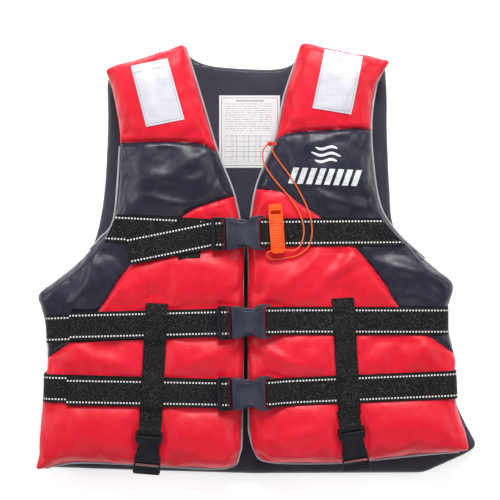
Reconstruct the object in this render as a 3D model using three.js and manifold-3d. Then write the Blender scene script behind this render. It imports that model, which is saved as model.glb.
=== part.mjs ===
// Adult foam life jacket lying on its back, fastened. Millimetres.
// +X is the wearer's left, +Y the head end, +Z up out of the front. It rests on z = 0.
import * as THREE from 'three';
import { mergeVertices } from 'three/addons/utils/BufferGeometryUtils.js';
import Module from 'manifold-3d';

const wasm = await Module();
wasm.setup();

// ---- Driving dimensions ----
const gap = 0.3; // between neighbouring pieces
const webbing = 1.6; // thickness of every strap
const beltWidth = 38;
const strapWidth = 30; // vertical straps and the crotch strap stubs
const skin = 1.5; // thickness of a fabric cover
const rim = 14; // radius of a panel's rounded edge
const backTop = 21.5; // top of the back cover's side wall
const cavity = 16.2; // height left for the body between back and front
const frontThick = 36.5;
const reach = 400; // size of a cutting block

// ---- Levels, from the ground up ----
const backShellZ = webbing + gap;
const backFoamZ = backShellZ + skin + gap;
const backLiningZ = backTop + gap;
const frontZ = backLiningZ + skin + cavity;
const frontTop = frontZ + frontThick;
const beltZ = frontTop + gap; // underside of the main belts
const keeperZ = beltZ + webbing + gap;
const tailZ = keeperZ + 1 + gap; // a belt's loose tail
const frameZ = tailZ + webbing + gap; // underside of a big plug's frame
const strapOverZ = frameZ; // a vertical strap where it crosses a belt

const palette = {
  red: ['#d9202f', 0.45, 0],
  navy: ['#33343f', 0.45, 0],
  lining: ['#3a3b42', 0.7, 0],
  foam: ['#e9e6da', 0.9, 0],
  webbing: ['#17171a', 0.85, 0],
  plastic: ['#3b3d46', 0.4, 0],
  reflective: ['#dfe2e6', 0.35, 0],
  label: ['#f1f1ee', 0.6, 0],
  orange: ['#ff5a14', 0.4, 0],
};

const jacket = new THREE.Group();

function material(name) {
  const [color, roughness, metalness] = palette[name];
  return new THREE.MeshStandardMaterial({ color, roughness, metalness });
}

function addPiece(name, solid, colour, parent = jacket) {
  const mesh = new THREE.Mesh(geometryOf(solid), material(colour));
  mesh.name = name;
  parent.add(mesh);
}

// ---- Solids ----
function solidOf(geometry) {
  geometry.deleteAttribute('normal');
  geometry.deleteAttribute('uv');
  const merged = mergeVertices(geometry, 1e-4);
  const vertProperties = new Float32Array(merged.attributes.position.array);
  const triVerts = new Uint32Array(merged.index.array);
  return new wasm.Manifold(new wasm.Mesh({ numProp: 3, vertProperties, triVerts }));
}

function geometryOf(solid) {
  const mesh = solid.getMesh();
  const geometry = new THREE.BufferGeometry();
  geometry.setAttribute('position', new THREE.BufferAttribute(mesh.vertProperties, 3));
  geometry.setIndex(new THREE.BufferAttribute(mesh.triVerts, 1));
  geometry.computeVertexNormals();
  return geometry;
}

function through(points, steps) { // a smooth line through a few points
  const curve = new THREE.SplineCurve(points.map(([x, y]) => new THREE.Vector2(x, y)));
  return curve.getPoints(steps).map((p) => [p.x, p.y]);
}

function shapeOf(points) {
  return new THREE.Shape(points.map(([x, y]) => new THREE.Vector2(x, y)));
}

function prism(points, low, high) {
  const depth = high - low;
  const geometry = new THREE.ExtrudeGeometry(shapeOf(points), { depth, bevelEnabled: false });
  return solidOf(geometry.translate(0, 0, low));
}

function block(x0, x1, y0, y1, z0, z1) {
  return prism([[x0, y0], [x1, y0], [x1, y1], [x0, y1]], z0, z1);
}

function inset(points, distance) { // an outline that runs anticlockwise, moved inwards
  return points.map((p, i) => {
    const before = points[(i + points.length - 1) % points.length];
    const after = points[(i + 1) % points.length];
    const inward = ([x0, y0], [x1, y1]) => {
      const length = Math.hypot(x1 - x0, y1 - y0);
      return [-(y1 - y0) / length, (x1 - x0) / length];
    };
    const [ax, ay] = inward(before, p);
    const [bx, by] = inward(p, after);
    const spread = distance / (1 + ax * bx + ay * by);
    return [p[0] + (ax + bx) * spread, p[1] + (ay + by) * spread];
  });
}

// A panel whose edge is rounded all round at its top and its bottom.
function pillow(points, low, high, radius) {
  const geometry = new THREE.ExtrudeGeometry(shapeOf(inset(points, radius)), {
    depth: high - low - 2 * radius,
    bevelSize: radius,
    bevelThickness: radius,
    bevelSegments: 2,
  });
  return solidOf(geometry.translate(0, 0, low + radius));
}

function slab(low, high) {
  return block(-reach, reach, -reach, reach, low, high);
}

// A strap seen from its side: a shape in x and z, as wide as the strap is in y.
function sideways(shape, width, turn = 0) {
  const geometry = new THREE.ExtrudeGeometry(shape, { depth: width, bevelEnabled: false });
  geometry.rotateX(Math.PI / 2).translate(0, width / 2, 0).rotateZ(turn);
  return solidOf(geometry);
}

// ---- Outlines, anticlockwise from above ----
const rightFront = [
  ...through([[-97, 286], [-76, 218], [-54, 145], [-31, 85], [-18, 20]], 7),
  [-17.5, -130], [-21, -232],
  ...through([[-24, -262], [-38, -281]], 1),
  [-163, -275], [-294.6, -281],
  [-289, -215], [-279, -140], [-285, -77],
  ...through([[-289, -52], [-253, -17], [-223, 13], [-192, 55], [-184, 154], [-195, 229]], 8),
  [-200, 255],
].reverse();

const leftFront = [
  ...through([[61, 289.5], [38, 222], [25, 161], [-1, 95], [-12, 20]], 7),
  [-12.5, -130], [-10.5, -232],
  ...through([[-2, -262], [15, -273]], 1),
  [151, -270], [285, -257],
  [268, -190], [267, -140], [257, -75],
  ...through([[263, -36], [226, -1], [186, 37], [163, 80], [153, 173], [159, 237]], 8),
  [175, 264],
];

const backPanel = [
  [-293, -286.5],
  ...through([[-293, -276], [-284, -140], [-288, -56]], 3),
  ...through([[-258, -18], [-229, 14], [-213, 82], [-207, 178], [-208, 243]], 6),
  [-203, 259], [-98, 284],
  ...through([[-88, 276], [-62, 267], [-10, 263], [30, 263], [50, 269]], 5),
  [61, 286], [178, 264],
  ...through([[181, 219], [181, 176], [185, 91], [192, 40], [231, 0], [262, -36]], 7),
  ...through([[260, -100], [270, -190], [294.6, -252]], 3),
  [222, -286], [-9, -289.5], [-150, -289],
].reverse();

const rightSeams = {
  lower: [[-10, 90], [-65, 73], [-100, 56], [-171, -10], [-211, -68], [-253, -114], [-310, -150],
    [-310, -310], [0, -310]],
  yoke: [[-230, 154], [-143, 157], [-78, 155], [-54, 145], [-20, 140], [-20, 310], [-230, 310]],
};

const leftSeams = {
  lower: [[-30, 94], [34, 89], [55, 75], [85, 55], [128, 19], [168, -29], [190, -64], [231, -104],
    [300, -150], [300, -310], [-30, -310]],
  yoke: [[-10, 155], [25, 161], [44, 169], [98, 173], [141, 175], [200, 168], [200, 310], [-10, 310]],
};

function shifted(points, y) {
  return points.map(([px, py]) => [px, py + y]);
}

// ---- Back ----
function anticlockwise(points) {
  return THREE.ShapeUtils.isClockWise(points.map(([x, y]) => new THREE.Vector2(x, y)))
    ? [...points].reverse() : points;
}

function addBack() {
  const edge = anticlockwise(backPanel);
  const below = slab(backShellZ, backTop);
  const outer = pillow(edge, backShellZ, 2 * backTop, rim / 2).intersect(below);
  const inner = pillow(inset(edge, skin), backShellZ + skin, 2 * backTop, rim / 2 - skin / 2);
  addPiece('back_outer_cover', outer.subtract(inner), 'navy');
  const foam = pillow(inset(edge, skin + gap), backFoamZ, 2 * backTop, rim / 2 - skin / 2);
  addPiece('back_foam_core', foam.intersect(slab(backFoamZ, backTop)), 'foam');
  addPiece('back_inner_lining', prism(edge, backLiningZ, backLiningZ + skin), 'lining');
  const labelZ = backLiningZ + skin + gap;
  addPiece('care_label', block(-52, 32, 125, 225, labelZ, labelZ + 0.5), 'label');
}

// The folded side panel between back and front, from the armpit to the hem.
function addGussets() {
  const low = backLiningZ + skin + gap;
  const high = frontZ - gap;
  const right = prism(inset(anticlockwise(rightFront), 3), low, high);
  addPiece('right_side_gusset', right.intersect(block(-300, -264, -268, -20, low, high)), 'navy');
  const left = prism(inset(anticlockwise(leftFront), 3), low, high);
  addPiece('left_side_gusset', left.intersect(block(238, 300, -246, -4, low, high)), 'navy');
}

// ---- Fronts: a cover sewn from three fabrics, a foam core and a lining ----
function addFront(side, points, seams) {
  const edge = anticlockwise(points);
  const foldZ = backLiningZ + skin + 3 * gap; // the cover's end wall at the shoulder reaches down here
  const foldY = 266;
  const under = block(-reach, reach, -reach, foldY, 0, frontZ);
  const outer = pillow(edge, foldZ - 2 * rim, frontTop, rim).intersect(slab(foldZ, frontTop));
  const inner = pillow(inset(edge, skin), foldZ - 3 * rim, frontTop - skin, rim - skin / 2);
  const shell = outer.subtract(inner).subtract(under);
  const lower = prism(seams.lower, 0, reach);
  const yoke = prism(seams.yoke, 0, reach);
  const lowerGap = prism(shifted(seams.lower, gap), 0, reach);
  const yokeGap = prism(shifted(seams.yoke, -gap), 0, reach);
  addPiece(`${side}_lower_cover`, shell.intersect(lower), 'red');
  addPiece(`${side}_chest_cover`, shell.subtract(lowerGap).subtract(yokeGap), 'navy');
  addPiece(`${side}_shoulder_cover`, shell.intersect(yoke), 'red');
  addPiece(`${side}_front_lining`, prism(inset(edge, 3 * skin), frontZ, frontZ + skin), 'lining');
  const foamZ = frontZ + skin + gap;
  const foam = pillow(inset(edge, skin + gap), 0, frontTop - skin - gap, rim - skin);
  addPiece(`${side}_foam_core`, foam.intersect(slab(foamZ, frontTop)), 'foam');
}

function addPatch(name, corners) {
  addPiece(name, prism(corners, beltZ, beltZ + 0.8), 'reflective');
}

// ---- Side-release buckles ----
// Local axes: +X from the plug into the socket, mouth at x = 0, z = 0 under the socket.
const buckle = {
  halfWidth: 23,
  height: 12,
  wall: 2.5, // the socket's top and bottom plates
  bodyEnd: 44,
  barFrom: 48.8,
  barEnd: 52.2,
  barHeight: 4.4,
  mouth: 19.6, // half the mouth's inner width
  cavityEnd: 38,
  frameLength: 20,
  frameHeight: 6,
  tongue: 30,
  prongHinge: [2, 14.7],
};

function socketSolid() {
  const b = buckle;
  const side = [[0, 21.5], [12.5, 21.5], [14, 17.5], [17, 15.5], [24, 15], [29, 17], [34, 21.5], [40, 23]];
  const plan = [...side, [b.bodyEnd, 23], [b.bodyEnd, -23], ...[...side].reverse().map(([x, y]) => [x, -y])];
  const body = prism(plan, 0, b.height);
  const hollow = block(-1, b.cavityEnd, -b.mouth, b.mouth, b.wall, b.height - b.wall);
  const barLow = (b.height - b.barHeight) / 2;
  const barPlan = [[b.bodyEnd - 1, -23], [b.barEnd - 2, -23], [b.barEnd, -21], [b.barEnd, 21],
    [b.barEnd - 2, 23], [b.bodyEnd - 1, 23]];
  const bar = prism(barPlan, barLow, barLow + b.barHeight);
  const slot = block(b.bodyEnd, b.barFrom, -20, 20, 0, b.height);
  return body.subtract(hollow).add(bar.subtract(slot));
}

function plugSolid() {
  const b = buckle;
  const low = (b.height - b.frameHeight) / 2;
  const end = -b.frameLength;
  const plan = [[-0.6, -22], [-0.6, 22], [end + 4, 23], [end + 1, 22], [end, 19], [end, -19],
    [end + 1, -22], [end + 4, -23]];
  const frame = prism(plan, low, low + b.frameHeight);
  const slots = block(end + 4, end + 8, -20, 20, 0, 12).add(block(end + 13, end + 17.5, -20, 20, 0, 12));
  const tip = [[-1, -4], [b.tongue - 4, -4], [b.tongue, -2], [b.tongue, 2], [b.tongue - 4, 4], [-1, 4]];
  const tongue = prism(tip, b.wall + 1, b.height - b.wall - 1);
  return frame.subtract(slots).add(tongue);
}

function prongSolid(sign) {
  const b = buckle;
  const plan = [[0.4, 13], [0.4, 16.4], [10, 17], [14, 19], [22, 19.2], [29, 16.8], [33, 13.5], [32, 12],
    [26, 14.2], [20, 15.4], [12, 14], [6, 13]];
  return prism(plan.map(([x, y]) => [x, y * sign]), b.wall + 1, b.height - b.wall - 1);
}

function placed(x, y, z, degrees, scale = 1) {
  const group = new THREE.Group();
  group.position.set(x, y, z);
  group.rotation.z = THREE.MathUtils.degToRad(degrees);
  group.scale.setScalar(scale);
  jacket.add(group);
  return group;
}

function addBuckle(name, place) {
  addPiece(`${name}_buckle_socket`, socketSolid(), 'plastic', place);
  addPiece(`${name}_buckle_plug`, plugSolid(), 'plastic', place);
  addPiece(`${name}_buckle_upper_prong`, prongSolid(1), 'plastic', place);
  addPiece(`${name}_buckle_lower_prong`, prongSolid(-1), 'plastic', place);
}

// ---- Belts ----
// Each belt names its mouth (the socket's open end), the buckle's turn, and where its ends lie.
const bigBuckleZ = frameZ - (buckle.height - buckle.frameHeight) / 2;
const belts = [
  { name: 'chest', mouth: [-41, 33], turn: 1.9, right: [-199.5, 41], left: [185, 36], tailEnd: [-172, 10],
    cuts: [15, 34] }, // its ends follow the armholes
  { name: 'waist', mouth: [-33.5, -85.5], turn: 2, right: [-284.5, -95], left: [261, -84],
    tailEnd: [-251, -91], wraps: true },
  { name: 'lower', mouth: [-33, -181], turn: 1.2, right: [-286.5, -174], left: [270, -169.5],
    tailEnd: [-255, -178], wraps: true },
];

// Webbing folded round a bar at x = 0 and height z, then running off at height runZ to x = far.
function loopShape(z, radius, far, runZ) {
  const arc = (r, from, to, steps) => Array.from({ length: steps + 1 }, (_, i) => {
    const a = from + ((to - from) * i) / steps;
    return [r * Math.cos(a), z + r * Math.sin(a)];
  });
  const outerRadius = radius + webbing;
  const lowest = 1.5 * Math.PI;
  const leaves = Math.asin(-radius / outerRadius); // where the upper side of the run meets the fold
  const drop = 9; // the run is down on the panel this far from the bar
  const shape = shapeOf([...arc(outerRadius, leaves, lowest, 10), [drop, runZ], [far, runZ],
    [far, runZ + webbing], [drop + 1, runZ + webbing]]);
  shape.holes.push(new THREE.Path(shapeOf(arc(radius, 0, 1.75 * Math.PI, 7)).getPoints()));
  return shape;
}

// Cuts a strap's end off along a slanting line through (x, 0).
function cutEnd(solid, x, slant) {
  const out = Math.sign(x) * reach;
  const y = beltWidth;
  return solid.subtract(prism([[x - slant, y], [x + slant, -y], [x + out, -y], [x + out, y]], 0, reach));
}

function addRightBelt(belt) {
  const [mx, my] = belt.mouth;
  const [ex, ey] = belt.right;
  const run = Math.hypot(mx - ex, my - ey);
  const degrees = THREE.MathUtils.radToDeg(Math.atan2(my - ey, mx - ex));
  const place = placed(mx, my, 0, degrees);
  const start = -buckle.frameLength + 12; // under the frame's middle bar
  const wrapX = -run - 2 * gap;
  const end = -run - 20;
  const flat = [[start, beltZ], [start, beltZ + webbing], [end, beltZ + webbing], [end, beltZ]];
  const wrap = [[start, beltZ], [start, beltZ + webbing], [wrapX + 8, beltZ + webbing],
    [wrapX - webbing, frontTop - 10], [wrapX - webbing, frontZ + 2], [wrapX, frontZ + 2],
    [wrapX, frontTop - 9], [wrapX + 8, beltZ]];
  const solid = sideways(shapeOf(belt.wraps ? wrap : flat), beltWidth);
  const ended = belt.wraps ? solid : cutEnd(solid, -run, -belt.cuts[0]);
  addPiece(`right_${belt.name}_belt`, ended, 'webbing', place);
}

function addLeftBelt(belt) {
  const [mx, my] = belt.mouth;
  const turn = THREE.MathUtils.degToRad(belt.turn);
  const barX = (buckle.barFrom + buckle.barEnd) / 2;
  const x = mx + barX * Math.cos(turn);
  const y = my + barX * Math.sin(turn);
  const [ex, ey] = belt.left;
  const run = Math.hypot(ex - x, ey - y);
  const place = placed(x, y, 0, THREE.MathUtils.radToDeg(Math.atan2(ey - y, ex - x)));
  const barZ = bigBuckleZ + buckle.height / 2;
  const far = belt.wraps ? run - 8 : run + 20;
  const loop = sideways(loopShape(barZ, 3.6, far, beltZ), beltWidth);
  const wrapX = run + 2 * gap;
  const wrap = [[far - 1, beltZ], [wrapX - 8, beltZ], [wrapX, frontTop - 9], [wrapX, frontZ + 2],
    [wrapX + webbing, frontZ + 2], [wrapX + webbing, frontTop - 10], [wrapX - 8, beltZ + webbing],
    [far - 1, beltZ + webbing]];
  const solid = belt.wraps ? loop.add(sideways(shapeOf(wrap), beltWidth)) : cutEnd(loop, run, belt.cuts[1]);
  addPiece(`left_${belt.name}_belt`, solid, 'webbing', place);
}

// The loose tail: up through the frame, over its middle bar, and back along the belt.
function addTail(belt) {
  const [mx, my] = belt.mouth;
  const place = placed(mx, my, 0, belt.turn);
  const end = -buckle.frameLength;
  const over = frameZ + buckle.frameHeight + gap;
  const left = end + 7.2 - webbing;
  const right = end + 13.8;
  const fold = [[end - 6, tailZ], [left + webbing, tailZ], [left + webbing, over], [right, over],
    [right, tailZ], [right + webbing, tailZ], [right + webbing, over + webbing],
    [left, over + webbing], [left, tailZ + webbing], [end - 6, tailZ + webbing]];
  const turn = THREE.MathUtils.degToRad(belt.turn);
  const dx = belt.tailEnd[0] - mx;
  const dy = belt.tailEnd[1] - my;
  const far = [dx * Math.cos(turn) + dy * Math.sin(turn), dy * Math.cos(turn) - dx * Math.sin(turn)];
  const across = Math.atan2(far[1], far[0] - end);
  const side = [(-Math.sin(across) * beltWidth) / 2, (Math.cos(across) * beltWidth) / 2];
  const root = [end - 4, 0];
  const plan = [[root[0] + side[0], root[1] + side[1]], [far[0] + side[0], far[1] + side[1]],
    [far[0] - side[0], far[1] - side[1]], [root[0] - side[0], root[1] - side[1]]];
  const tail = prism(anticlockwise(plan), tailZ, tailZ + webbing);
  addPiece(`${belt.name}_belt_tail`, sideways(shapeOf(fold), beltWidth).add(tail), 'webbing', place);
}

function addBackBelt(belt) {
  const [rx, ry] = belt.right;
  const [lx, ly] = belt.left;
  const half = Math.hypot(lx - rx, ly - ry) / 2 + 2 * gap;
  const place = placed((rx + lx) / 2, (ry + ly) / 2, 0, THREE.MathUtils.radToDeg(Math.atan2(ly - ry, lx - rx)));
  const out = half + 4; // outside the back panel's edge
  const high = frontZ - 1;
  const outline = [[-out + 6, 0], [out - 6, 0], [out, 4], [out, backTop], [half + webbing, high], [half, high],
    [out - webbing, backTop - 1], [out - webbing, 5], [out - 7, webbing], [-out + 7, webbing],
    [-out + webbing, 5], [-out + webbing, backTop - 1], [-half, high], [-half - webbing, high],
    [-out, backTop], [-out, 4]];
  addPiece(`back_${belt.name}_belt`, sideways(shapeOf(outline), beltWidth), 'webbing', place);
}

// ---- Vertical straps over the waist and lower belts, with a crotch buckle below ----
const crotchScale = 0.8;
const crotchBarX = ((buckle.barFrom + buckle.barEnd) / 2) * crotchScale;
// lower and waist: how far up the strap from its bar the middles of those belts lie.
const straps = [
  { side: 'right', top: [-134, -61], bar: [-144, -232.5], turn: 85.5, lower: 53.5, waist: 144,
    overZ: strapOverZ }, // it crosses the tails too
  { side: 'left', top: [115, -53], bar: [125.5, -227], turn: 98.6, lower: 51.5, waist: 143.5,
    overZ: keeperZ },
];

function addStrap(strap) {
  const [tx, ty] = strap.top;
  const [bx, by] = strap.bar;
  const length = Math.hypot(tx - bx, ty - by);
  const degrees = THREE.MathUtils.radToDeg(Math.atan2(ty - by, tx - bx));
  const place = placed(bx, by, 0, degrees);
  const barZ = beltZ + (buckle.height * crotchScale) / 2;
  const hump = (middle, z, up) => [[-28, beltZ], [-23, z], [23, z], [28, beltZ]].map(([x, level]) => (
    [middle + x * up, level]));
  const { lower, waist, overZ } = strap;
  const start = lower - 30;
  const under = [[length + 6, beltZ], ...hump(waist, overZ, -1), ...hump(lower, overZ, -1), [start, beltZ]];
  const upper = [...under].reverse().map(([x, z]) => [x, z + webbing]);
  const turn = THREE.MathUtils.degToRad(strap.turn - degrees);
  const loop = sideways(loopShape(barZ, 3.1, start + 4, beltZ), strapWidth, turn);
  const run = sideways(shapeOf([...upper, ...under]), strapWidth);
  addPiece(`${strap.side}_crotch_strap`, loop.add(run), 'webbing', place);
}

function addCrotchBuckle(strap) {
  const turn = THREE.MathUtils.degToRad(strap.turn);
  const x = strap.bar[0] - crotchBarX * Math.cos(turn);
  const y = strap.bar[1] - crotchBarX * Math.sin(turn);
  addBuckle(`${strap.side}_crotch`, placed(x, y, beltZ, strap.turn, crotchScale));
}

// ---- Whistle, its lanyard and the loop that holds it ----
const whistle = { x: 26.2, y: 40, z: keeperZ + 2.5, length: 66, width: 19, height: 9, turn: 3.8 };
const lanyardHole = { inset: 3.2, radius: 1.6 };

function addWhistle() {
  const w = whistle;
  const place = placed(w.x, w.y, w.z, w.turn);
  const half = w.width / 2;
  const top = w.length / 2;
  const plan = [[-half + 1, top], [-half, top - 14], [-half, -top + 3], [-half + 3, -top], [half - 3, -top],
    [half, -top + 3], [half, top - 14], [half - 1, top]];
  const body = prism(anticlockwise(plan), 0, w.height);
  const mouthpiece = block(-half + 2.6, half - 2.6, top - 24, top + 1, 2.2, w.height - 2.2);
  const airSlot = block(-half + 2.6, half - 2.6, top - 14, top - 9, w.height - 3, w.height + 1);
  const bore = new THREE.CylinderGeometry(lanyardHole.radius, lanyardHole.radius, 2 * w.width, 10);
  const hole = solidOf(bore.rotateZ(Math.PI / 2).translate(0, lanyardHole.inset - top, w.height / 2));
  addPiece('whistle', body.subtract(mouthpiece).subtract(airSlot).subtract(hole), 'orange', place);
}

const cordDiameter = 2;
const fabricZ = frontTop + cordDiameter / 2 + gap;
const overBeltZ = beltZ + webbing + cordDiameter / 2 + gap;
const loopZ = overBeltZ + 0.2; // over the little sewn loop
const holeZ = whistle.z + whistle.height / 2;
const cordRoute = [ // down the inner strand, across through the whistle, and back up the outer strand
  [17, 155.5, loopZ], [10, 148.5, 78.6], [7.4, 138, fabricZ], [11, 124, fabricZ], [24, 105, fabricZ],
  [42, 84, fabricZ], [54.5, 65, 78.6], [61.5, 48, overBeltZ], [62.5, 31, overBeltZ], [57, 16, overBeltZ],
  [49, 10.5, 81.5], [41.5, 11, 84.2], [35, 10.8, holeZ], [28, 10.3, holeZ], [21, 9.85, holeZ],
  [14.8, 8.6, 84.8], [13.2, 3.6, 82.6], [19, -0.6, 80], [28, -1, 78.2], [39, 0.6, fabricZ],
  [50, 2.6, fabricZ], [61, 8, 78.4], [69.5, 17, overBeltZ],
  [73.6, 32, overBeltZ], [73, 48, overBeltZ], [69, 64, 78.8], [59.5, 85, fabricZ], [46, 108, fabricZ],
  [29, 131, fabricZ], [22, 142, 78.4], [19.5, 149, loopZ],
];

function addCord() {
  const path = new THREE.CatmullRomCurve3(cordRoute.map((p) => new THREE.Vector3(...p)));
  const sides = 8;
  const section = Array.from({ length: sides }, (_, i) => {
    const a = (2 * Math.PI * (i + 0.5)) / sides;
    return [(cordDiameter / 2) * Math.cos(a), (cordDiameter / 2) * Math.sin(a)];
  });
  const tube = new THREE.ExtrudeGeometry(shapeOf(section), { steps: 80, extrudePath: path });
  addPiece('whistle_cord', solidOf(tube), 'orange');
  const sewnLoop = prism([[14, 151], [27, 147], [30, 156], [17, 160]], beltZ, beltZ + webbing);
  addPiece('whistle_cord_loop', sewnLoop, 'red');
}

addBack();
addGussets();
addFront('right', rightFront, rightSeams);
addFront('left', leftFront, leftSeams);
addPatch('right_reflective_patch', [[-148, 176], [-97, 186], [-120, 268], [-169, 258]]);
addPatch('left_reflective_patch', [[74, 201], [126, 193], [141, 266], [91, 274]]);
belts.forEach((belt) => {
  addRightBelt(belt);
  addLeftBelt(belt);
  addTail(belt);
  addBuckle(belt.name, placed(...belt.mouth, bigBuckleZ, belt.turn));
});
belts.filter((belt) => belt.wraps).forEach(addBackBelt);
addPiece('chest_belt_keeper', block(-106, -76, -9, 54, keeperZ, keeperZ + 1), 'webbing');
straps.forEach((strap) => {
  addStrap(strap);
  addCrotchBuckle(strap);
});
addWhistle();
addCord();

export default jacket;
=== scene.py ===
import math
import bmesh
import bpy
import numpy as np
from mathutils import Matrix, Vector
from mathutils.bvhtree import BVHTree


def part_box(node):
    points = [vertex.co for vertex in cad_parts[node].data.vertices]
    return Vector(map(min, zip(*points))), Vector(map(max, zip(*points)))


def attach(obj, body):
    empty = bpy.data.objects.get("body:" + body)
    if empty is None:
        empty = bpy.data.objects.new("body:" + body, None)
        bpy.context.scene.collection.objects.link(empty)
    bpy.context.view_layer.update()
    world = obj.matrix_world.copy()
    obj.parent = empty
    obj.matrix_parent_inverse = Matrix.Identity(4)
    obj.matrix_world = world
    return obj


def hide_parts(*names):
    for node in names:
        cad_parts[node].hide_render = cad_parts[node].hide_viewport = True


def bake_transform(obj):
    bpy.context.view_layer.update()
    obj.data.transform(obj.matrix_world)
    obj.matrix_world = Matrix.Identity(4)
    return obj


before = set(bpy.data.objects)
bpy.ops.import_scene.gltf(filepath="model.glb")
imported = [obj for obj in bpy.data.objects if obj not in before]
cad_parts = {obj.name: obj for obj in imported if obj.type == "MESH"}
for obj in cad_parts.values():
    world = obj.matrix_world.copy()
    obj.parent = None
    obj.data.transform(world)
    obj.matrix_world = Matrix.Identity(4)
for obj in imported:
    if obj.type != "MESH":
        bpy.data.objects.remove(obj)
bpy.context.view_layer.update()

mm = 0.001
up = np.array([0.0, 0.0, 1.0])

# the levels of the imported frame, in millimetres
levels = {"backLow": 2.3, "backHigh": 23.4, "frontLow": 39.7, "frontHigh": 75.7, "belt": 77.1, "keeper": 78.7,
          "tail": 80.3, "socket": 78.4, "crotchSocket": 76.3}

cameraPlace = {"x": -9.4, "y": 11.4, "height": 1870.0, "lens": 96.2}


def addCamera():
    lensData = bpy.data.cameras.new("camera")
    lensData.lens = cameraPlace["lens"]
    lensData.sensor_width = 36.0
    lensData.clip_start = 0.05
    camera = bpy.data.objects.new("camera", lensData)
    camera.location = (cameraPlace["x"] * mm, cameraPlace["y"] * mm, cameraPlace["height"] * mm)
    bpy.context.scene.collection.objects.link(camera)
    bpy.context.scene.camera = camera


addCamera()
print("camera placed")


def deselectAll():
    if bpy.context.object and bpy.context.object.mode != "OBJECT":
        bpy.ops.object.mode_set(mode="OBJECT")
    bpy.ops.object.select_all(action="DESELECT")


def makeActive(obj):
    deselectAll()
    obj.select_set(True)
    bpy.context.view_layer.objects.active = obj


def meshFrom(name, points, faces, uvs=None):
    mesh = bpy.data.meshes.new(name)
    mesh.from_pydata([tuple(p) for p in np.asarray(points) * mm], [], [tuple(map(int, f)) for f in faces])
    if uvs is not None:  # one pair for each corner of each face, in metres
        layer = mesh.uv_layers.new(name="cloth")
        layer.data.foreach_set("uv", np.asarray(uvs, float).ravel())
    mesh.validate()
    obj = bpy.data.objects.new(name, mesh)
    bpy.context.scene.collection.objects.link(obj)
    return obj


def getPoints(obj):
    flat = np.empty(len(obj.data.vertices) * 3)
    obj.data.vertices.foreach_get("co", flat)
    return flat.reshape(-1, 3) / mm


def setPoints(obj, points):
    obj.data.vertices.foreach_set("co", (np.asarray(points) * mm).ravel())
    obj.data.update()


def useModifier(obj, kind, **settings):
    makeActive(obj)
    modifier = obj.modifiers.new(kind.lower(), kind)
    for key, value in settings.items():
        setattr(modifier, key, value)
    bpy.ops.object.modifier_apply(modifier=modifier.name)


def smoothFaces(obj, angle=None):
    makeActive(obj)
    if angle is None:
        bpy.ops.object.shade_smooth()
    else:
        bpy.ops.object.shade_smooth_by_angle(angle=math.radians(angle))


def tidyNormals(obj):
    makeActive(obj)
    bpy.ops.object.mode_set(mode="EDIT")
    bpy.ops.mesh.select_all(action="SELECT")
    bpy.ops.mesh.normals_make_consistent(inside=False)
    bpy.ops.object.mode_set(mode="OBJECT")


def joined(name, parts):
    makeActive(parts[0])
    for part in parts:
        part.select_set(True)
    bpy.ops.object.join()
    parts[0].name = name
    return parts[0]


def removed(*objects):
    for obj in objects:
        bpy.data.objects.remove(obj, do_unlink=True)


def finished(obj, material, body, nodes=()):
    obj.data.materials.clear()
    obj.data.materials.append(material)
    if isinstance(body, str):
        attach(obj, body)
    else:
        body[2] * mm
        body[3] * mm
        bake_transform(obj)
    if nodes:
        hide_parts(*nodes)
    return obj


def curveThrough(points, perSpan):  # a smooth line that passes through every point
    points = np.asarray(points, float)
    n = len(points) - 1
    out = []
    for i in range(n):
        p0, p1, p2, p3 = points[max(i - 1, 0)], points[i], points[i + 1], points[min(i + 2, n)]
        for t in np.arange(perSpan) / perSpan:
            v0, v1 = (p2 - p0) / 2, (p3 - p1) / 2
            out.append((2 * p1 - 2 * p2 + v0 + v1) * t ** 3 + (3 * p2 - 3 * p1 - 2 * v0 - v1) * t ** 2 + v0 * t + p1)
    return out + [points[-1]]


def runAlong(line):  # how far along the line each of its points lies
    return np.concatenate([[0], np.cumsum(np.linalg.norm(np.diff(line, axis=0), axis=1))])


def evenSteps(points, step, closed=False):
    points = np.asarray(points, float)
    if closed:
        points = np.vstack([points, points[:1]])
    length = runAlong(points)
    count = max(2, int(round(length[-1] / step)))
    at = np.linspace(0, length[-1], count + 1)
    out = np.stack([np.interp(at, length, points[:, k]) for k in range(points.shape[1])], axis=1)
    return out[:-1] if closed else out


def roundedLine(points, times=3):  # cuts the corners of a line, keeping its ends
    points = np.asarray(points, float)
    for _ in range(times):
        a, b = points[:-1], points[1:]
        mid = np.stack([a * 0.75 + b * 0.25, a * 0.25 + b * 0.75], axis=1).reshape(-1, points.shape[1])
        points = np.vstack([points[:1], mid[1:-1], points[-1:]])
    return points


def nearest(points, line):
    best = np.full(len(points), 1e9)
    along = np.zeros(len(points))
    place = np.zeros((len(points), 2))
    start = 0.0
    for a, b in zip(line[:-1], line[1:]):
        d = b - a
        size = np.hypot(*d)
        if size < 1e-9:
            continue
        t = np.clip(((points - a) @ d) / size ** 2, 0, 1)
        near = a + t[:, None] * d
        far = np.hypot(*(points - near).T)
        closer = far < best
        best = np.where(closer, far, best)
        along = np.where(closer, start + t * size, along)
        place = np.where(closer[:, None], near, place)
        start += size
    return best, along, place


def inside(points, polygon):
    result = np.zeros(len(points), bool)
    x, y = points[:, 0], points[:, 1]
    for a, b in zip(polygon, np.roll(polygon, -1, axis=0)):
        if a[1] == b[1]:
            continue
        crosses = (a[1] > y) != (b[1] > y)
        result ^= crosses & (x < (b[0] - a[0]) * (y - a[1]) / (b[1] - a[1]) + a[0])
    return result


def ripple(s, seed, waves=(9, 14, 23, 37)):  # a wandering line, about -1 to 1
    rng = np.random.default_rng(seed)
    total = sum(np.sin(2 * np.pi * s / w + rng.uniform(0, 6.28)) * rng.uniform(0.6, 1) for w in waves)
    return total / len(waves) * 1.5


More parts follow.
